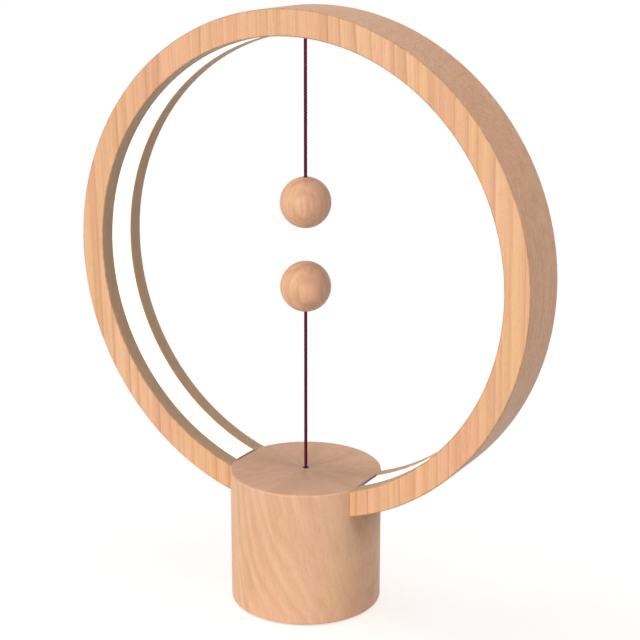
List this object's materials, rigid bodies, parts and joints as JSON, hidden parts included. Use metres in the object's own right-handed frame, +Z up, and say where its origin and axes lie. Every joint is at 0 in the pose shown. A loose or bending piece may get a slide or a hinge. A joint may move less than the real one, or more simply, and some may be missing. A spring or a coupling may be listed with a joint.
{
  "type": "magnetic balance lamp",
  "caption": "Table lamp with a lit wooden ring on a round base, a hanging ball and a tethered ball that magnets hold up to switch it on.",
  "frame": {"origin": "on the table, under the centre of the base", "axes": "+Z up, +X along the ring's plane to the viewer's right of the front, +Y to the back, where the power inlet is"},
  "size_m": [0.242, 0.074, 0.2908],
  "materials": {
    "beech_ring": "clear satin lacquer, vertical grain",
    "beech_base": "clear satin lacquer, vertical grain",
    "beech_ball": "clear satin lacquer",
    "diffuser": "opal, lit from behind",
    "cord": "twisted waxed cord",
    "steel": "zinc plated",
    "brass": "plain",
    "eyelet": "dark, matt",
    "magnet": "nickel plated",
    "black_plastic": "fine moulded grain",
    "white_plastic": "moulded",
    "red_plastic": "moulded",
    "foot_rubber": "matt",
    "ballast_iron": "turned",
    "led_strip": "flexible board",
    "led_phosphor": "resin",
    "circuit_board": "solder resist",
    "chip_resin": "moulded resin",
    "capacitor_can": "sleeved",
    "socket_metal": "tin plated",
    "wire_red": "extruded",
    "wire_blue": "extruded"
  },
  "bodies": {
    "stand": {"base_shell": "beech_base", "base_plate": "black_plastic", "foot_ring": "foot_rubber", "ballast": "ballast_iron", "base_plate_screws": "steel", "ballast_screws": "steel", "ring_frame": "beech_ring", "diffuser": "diffuser", "led_strip_left": "led_strip", "led_strip_right": "led_strip", "led_chips": "led_phosphor", "ring_saddle": "steel", "ring_end_screws": "steel", "switch_mount_screws": "steel", "cord_clip": "brass", "cord_clip_screws": "steel", "upper_eyelet": "eyelet", "upper_anchor_knot": "cord", "lower_eyelet": "eyelet", "switch_housing": "black_plastic", "plunger_spring": "steel", "micro_switch": "black_plastic", "micro_switch_screws": "steel", "micro_switch_terminals": "brass", "control_board": "circuit_board", "board_posts": "brass", "board_screws": "steel", "board_chips": "chip_resin", "board_capacitors": "capacitor_can", "wire_sockets": "white_plastic", "inlet_socket": "socket_metal", "inlet_bezel": "black_plastic", "led_wires_left": "wire_red", "led_wires_right": "wire_red", "switch_wires": "wire_blue"},
    "upper_bend": {"upper_cord_bend": "cord"},
    "upper_pendulum": {"upper_cord": "cord", "upper_ball_top": "beech_ball", "upper_ball_bottom": "beech_ball", "upper_magnet": "magnet", "upper_ball_knot": "cord"},
    "lower_bend": {"lower_cord_bend": "cord"},
    "lower_line": {"lower_cord": "cord"},
    "lower_ball": {"lower_ball_top": "beech_ball", "lower_ball_bottom": "beech_ball", "lower_magnet": "magnet", "lower_ball_knot": "cord"},
    "plunger": {"switch_plunger": "white_plastic", "pull_cord": "cord", "pull_cord_knot": "cord"},
    "switch_button": {"micro_switch_button": "red_plastic"}
  },
  "joints": [
    {"name": "upper_tilt", "type": "hinge", "parent": "stand", "child": "upper_bend", "pos_m": [0, 0, 0.27819], "axis": [1, 0, 0], "range_deg": [-45, 45]},
    {"name": "upper_sway", "type": "hinge", "parent": "upper_bend", "child": "upper_pendulum", "pos_m": [0, 0, 0.27819], "axis": [0, 1, 0], "range_deg": [-45, 45]},
    {"name": "lower_tilt", "type": "hinge", "parent": "stand", "child": "lower_bend", "pos_m": [0, 0, 0.0675], "axis": [1, 0, 0], "range_deg": [-12, 12], "stiffness_Nm_per_rad": 0.02},
    {"name": "lower_sway", "type": "hinge", "parent": "lower_bend", "child": "lower_line", "pos_m": [0, 0, 0.0675], "axis": [0, 1, 0], "range_deg": [-12, 12], "stiffness_Nm_per_rad": 0.02},
    {"name": "ball_drop", "type": "slide", "parent": "lower_line", "child": "lower_ball", "axis": [0, 0, 1], "range_m": [-0.0785, 0], "deforming": ["lower_cord"]},
    {"name": "switch_pull", "type": "slide", "parent": "stand", "child": "plunger", "axis": [0, 0, 1], "range_m": [-0.0025, 0], "deforming": ["plunger_spring"]},
    {"name": "button_press", "type": "slide", "parent": "stand", "child": "switch_button", "axis": [0, 0, 1], "range_m": [-0.0006, 0]}
  ],
  "couplings": [
    {"joint": "switch_pull", "follows": "ball_drop", "ratio": 0.031847},
    {"joint": "button_press", "follows": "ball_drop", "ratio": 0.0076433}
  ]
}
